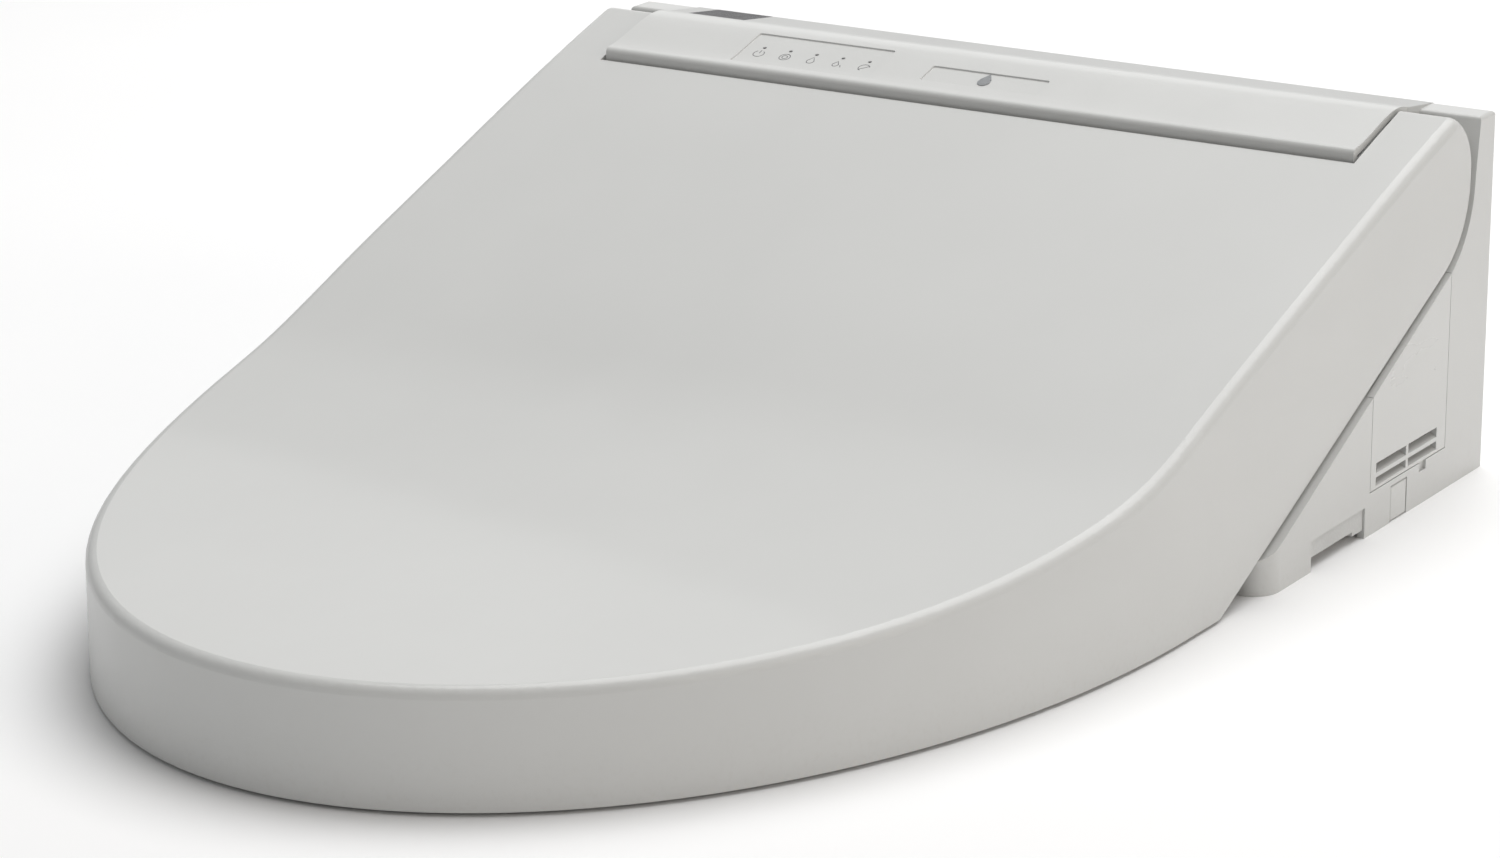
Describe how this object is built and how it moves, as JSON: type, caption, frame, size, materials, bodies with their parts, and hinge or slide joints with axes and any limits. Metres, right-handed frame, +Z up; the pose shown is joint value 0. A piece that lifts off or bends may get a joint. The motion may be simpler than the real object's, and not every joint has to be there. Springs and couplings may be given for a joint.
{
  "type": "bidet seat",
  "caption": "Electric bidet toilet seat with a one-piece lid, heated seat ring, spray wand, warm-air dryer and filter door in a rear housing.",
  "frame": {"origin": "midway between the two bolt holes of the mounting plate, on the face that lies on the bowl", "axes": "+X to the right as seen from the front, +Y to the rear, +Z up"},
  "size_m": [0.3824, 0.5305, 0.1457],
  "materials": {
    "lid": "smooth off-white polypropylene with a soft gloss",
    "case": "smooth off-white plastic",
    "cover": "smooth off-white plastic",
    "window": "dark tinted plastic",
    "lens": "translucent light guides",
    "badge": "plain drop-shaped badge",
    "tray": "moulded tray, fine texture",
    "rubber": "soft light-grey rubber",
    "steel": "plain stainless steel",
    "seat": "smooth off-white plastic",
    "foil": "aluminium foil heater",
    "white_part": "smooth off-white plastic",
    "grey_part": "grey engineering plastic",
    "dark_part": "black engineering plastic",
    "wand": "white plastic",
    "motor": "plated motor can",
    "brass": "turned brass",
    "mesh": "pierced steel",
    "valve": "blue-grey valve body",
    "tank": "cream plastic",
    "hose": "milky tube",
    "heater_mica": "mica boards with ribbon wire",
    "board": "green circuit board"
  },
  "bodies": {
    "housing": {"upper_case": "case", "top_cover": "cover", "receiver_window": "window", "indicator_lenses": "lens", "badge_plate": "badge", "lower_case": "tray", "case_screws": "steel", "foot_pads": "rubber", "mounting_plate": "grey_part", "slot_inserts": "grey_part", "filter_holder": "grey_part", "button_spring": "steel", "nozzle_motor": "motor", "nozzle_rail": "grey_part", "feed_tube": "steel", "inlet_spigot": "brass", "inlet_strainer": "mesh", "solenoid_valve": "valve", "heater_tank": "tank", "heater_element": "steel", "vacuum_breaker": "grey_part", "flow_selector": "grey_part", "inlet_hose": "hose", "spray_hose": "hose", "wand_hose": "hose", "dryer_housing": "grey_part", "dryer_motor": "motor", "dryer_duct": "grey_part", "dryer_heater": "heater_mica", "deodoriser_housing": "grey_part", "deodoriser_motor": "motor", "control_board": "board", "lid_damper": "dark_part", "seat_damper": "dark_part", "cord_gland": "rubber"},
    "seat": {"seat_top": "seat", "seat_bottom": "seat", "seat_heater": "foil", "seat_bumpers": "rubber", "seat_shaft": "steel"},
    "lid": {"lid_shell": "lid", "lid_bumpers": "rubber", "lid_shaft": "steel"},
    "filter_drawer": {"filter_door": "white_part", "filter_cartridge": "dark_part"},
    "button": {"release_button": "white_part"},
    "wand": {"nozzle_tip": "wand", "nozzle_wand": "wand"},
    "pinion": {"drive_pinion": "dark_part"},
    "dryer_wheel": {"dryer_impeller": "dark_part"},
    "outlet_flap": {"dryer_flap": "dark_part"},
    "deodoriser_wheel": {"deodoriser_fan": "dark_part"}
  },
  "joints": [
    {"name": "seat_hinge", "type": "hinge", "parent": "housing", "child": "seat", "pos_m": [0, 0.011, 0.128], "axis": [-1, 0, 0], "range_deg": [0, 95]},
    {"name": "lid_hinge", "type": "hinge", "parent": "seat", "child": "lid", "pos_m": [0, 0.011, 0.128], "axis": [1, 0, 0], "range_deg": [-105, 0]},
    {"name": "filter_slide", "type": "slide", "parent": "housing", "child": "filter_drawer", "axis": [1, 0, 0], "range_m": [0, 0.045]},
    {"name": "button_press", "type": "slide", "parent": "housing", "child": "button", "axis": [-1, 0, 0], "range_m": [0, 0.003], "stiffness_N_per_m": 500, "springref_m": -0.002},
    {"name": "wand_slide", "type": "slide", "parent": "housing", "child": "wand", "axis": [0, -0.9063, -0.4226], "range_m": [0, 0.085]},
    {"name": "pinion_spin", "type": "hinge", "parent": "housing", "child": "pinion", "pos_m": [0, -0.09363, 0.04805], "axis": [-1, 0, 0], "range_deg": [0, 545]},
    {"name": "dryer_spin", "type": "hinge", "parent": "housing", "child": "dryer_wheel", "pos_m": [0.05, -0.03, 0.033], "axis": [0, 0, 1], "continuous": true},
    {"name": "flap_swing", "type": "hinge", "parent": "housing", "child": "outlet_flap", "pos_m": [0.067, -0.12, 0.02], "axis": [-1, 0, 0], "range_deg": [0, 60]},
    {"name": "deodoriser_spin", "type": "hinge", "parent": "housing", "child": "deodoriser_wheel", "pos_m": [0.115, -0.015, 0.043], "axis": [1, 0, 0], "continuous": true}
  ],
  "couplings": [
    {"joint": "pinion_spin", "follows": "wand_slide", "rad_per_m": 111.11}
  ]
}
